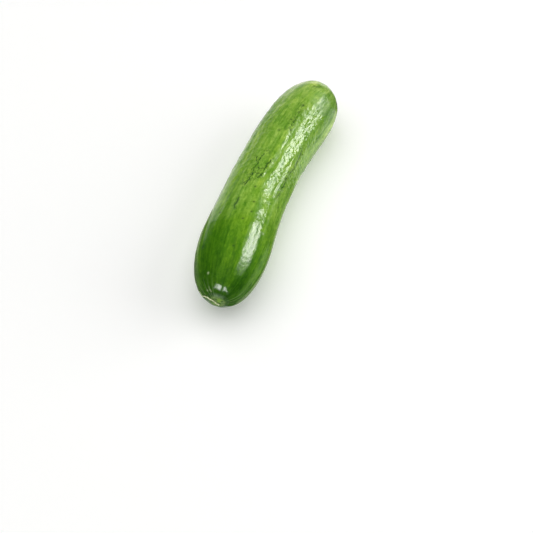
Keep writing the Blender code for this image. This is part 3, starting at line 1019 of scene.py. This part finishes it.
def add_camera(middle):
    """Sets the camera so that the fruit's middle falls on its own pixel, seen along the line of sight."""
    focal = IMAGE_SIZE * LENS / SENSOR
    right_share = (MIDDLE_PIXEL[0] - IMAGE_SIZE / 2) / focal
    up_share = (IMAGE_SIZE / 2 - MIDDLE_PIXEL[1]) / focal
    pitch = SIGHT_ELEVATION + math.atan(up_share)
    level = Vector((math.cos(SIGHT_HEADING), math.sin(SIGHT_HEADING), 0.0))
    right = Vector((math.sin(SIGHT_HEADING), -math.cos(SIGHT_HEADING), 0.0))
    forward = level * math.cos(pitch) - Vector((0.0, 0.0, math.sin(pitch)))
    up = right.cross(forward)
    data = bpy.data.cameras.new("camera")
    data.lens, data.sensor_width = LENS, SENSOR
    data.clip_start, data.clip_end = CLIP_RANGE
    camera = bpy.data.objects.new("camera", data)
    place = middle - SIGHT_DISTANCE * (forward + right_share * right + up_share * up)
    axes = Matrix((right, up, -forward)).transposed()
    camera.matrix_world = Matrix.Translation(place) @ axes.to_4x4()
    bpy.context.scene.collection.objects.link(camera)
    bpy.context.scene.camera = camera


def add_softbox(name, place, out, size, radiance, seen, roll=0.0, tint=(1.0, 1.0, 1.0)):
    """A rectangular light with its back to the way out, which is seen as a shine or as fill."""
    data = bpy.data.lights.new(name, "AREA")
    data.shape = "RECTANGLE"
    data.size, data.size_y = size
    data.energy = radiance * math.pi * size[0] * size[1]
    data.color = tint
    lamp = bpy.data.objects.new(name, data)
    lamp.location = place
    lamp.rotation_mode = "QUATERNION"
    lamp.rotation_quaternion = out.to_track_quat("Z", "Y") @ Quaternion((0.0, 0.0, 1.0), math.radians(roll))
    lamp.visible_glossy = seen != "fill"
    lamp.visible_diffuse = seen != "shine"
    lamp.visible_camera = False
    bpy.context.scene.collection.objects.link(lamp)


def add_far_light(name, middle, azimuth, elevation, distance, size, radiance, *looks):
    """A light that faces the fruit's middle. The azimuth is counted from X towards Y, in degrees."""
    azimuth, elevation = math.radians(azimuth), math.radians(elevation)
    level = Vector((math.cos(azimuth), math.sin(azimuth), 0.0))
    out = level * math.cos(elevation) + Vector((0.0, 0.0, math.sin(elevation)))
    add_softbox(name, middle + out * distance, out, size, radiance, *looks)


def add_window(middle):
    """The window's panes, each sized so that it fills its angles as seen from the fruit's middle."""
    for number, (start, end, foot, top, radiance) in enumerate(WINDOW_PANES):
        azimuth, elevation = (start + end) / 2, (foot + top) / 2
        width = 2.0 * math.tan(math.radians(end - start) / 2) * math.cos(math.radians(elevation))
        height = 2.0 * math.tan(math.radians(top - foot) / 2)
        size = (width * WINDOW_DISTANCE, height * WINDOW_DISTANCE)
        place = (azimuth, elevation, WINDOW_DISTANCE)
        add_far_light(f"window_{number}", middle, *place, size, radiance, "shine", WINDOW_ROLL, WINDOW_TINT)


def add_lights(middle):
    add_window(middle)
    for name, *looks in FAR_LIGHTS:
        add_far_light(name, middle, *looks)
    for name, (x, y), size, radiance in FLOOR_CARDS:
        place, down = Vector((x, y, CARD_HEIGHT)), Vector((0.0, 0.0, -1.0))
        add_softbox(name, place, down, size, radiance, "shine", 0.0, CARD_TINT)
    world = bpy.data.worlds.new("studio")
    world.use_nodes = True
    background = world.node_tree.nodes["Background"]
    background.inputs["Color"].default_value = (1.0, 1.0, 1.0, 1.0)
    background.inputs["Strength"].default_value = AMBIENT
    bpy.context.scene.world = world


def floor_outlines():
    """The floor's three parts, which meet along the seam and at the wedge and reach far out."""
    start, *reaches = FLOOR_STRIP
    left, right = (
        [(base + y * slope, side * y) for y in (reach, FLOOR_REACH)]
        for reach, (side, base, slope) in zip(reaches, FLOOR_EDGES)
    )
    seam = [left[1], left[0], (start, reaches[0]), (start, -reaches[1]), right[0], right[1]]
    corner, azimuths = FLOOR_WEDGE
    low_slope, high_slope = (math.tan(math.radians(azimuth)) for azimuth in azimuths)
    far = 2 * FLOOR_REACH
    low = (corner[0] - FLOOR_REACH / low_slope, -FLOOR_REACH)
    high = (far, corner[1] + (far - corner[0]) * high_slope)
    return {
        "floor_behind": [*seam, low, corner, high, (far, FLOOR_REACH)],
        "floor_before": [*reversed(seam), (-FLOOR_REACH, FLOOR_REACH), (-FLOOR_REACH, -FLOOR_REACH)],
        "floor_wedge": [corner, low, (far, -FLOOR_REACH), high],
    }


def add_floor():
    """A pale floor in three parts. Those before the fruit and past its stem end don't show in its skin."""
    material = Graph("floor").shade(FLOOR_LOOK)
    for name, corners in floor_outlines().items():
        vertices = [(x, y, 0.0) for x, y in corners]
        floor = add_mesh(name, vertices, [tuple(range(len(corners)))], material)
        floor.visible_glossy = name == "floor_behind"


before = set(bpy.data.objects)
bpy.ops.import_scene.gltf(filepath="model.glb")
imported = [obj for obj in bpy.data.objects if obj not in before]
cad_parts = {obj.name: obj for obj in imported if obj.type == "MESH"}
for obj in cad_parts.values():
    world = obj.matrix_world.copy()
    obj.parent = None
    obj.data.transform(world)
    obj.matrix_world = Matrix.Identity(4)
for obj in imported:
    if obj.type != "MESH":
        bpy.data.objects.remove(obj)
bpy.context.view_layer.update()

fruit, shift = build_fruit()
thread = build_thread(shift)
for piece, node, slot in ((fruit, "fruit", "skin"), (thread, "blossom_thread", "dry_thread")):
    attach(piece, "root")
    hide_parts(node)

middle = Vector(middle_line(np.array([LENGTH / 2]))[0][0] + shift)
add_camera(middle)
add_lights(middle)
add_floor()
bpy.context.scene.view_settings.view_transform = "Standard"
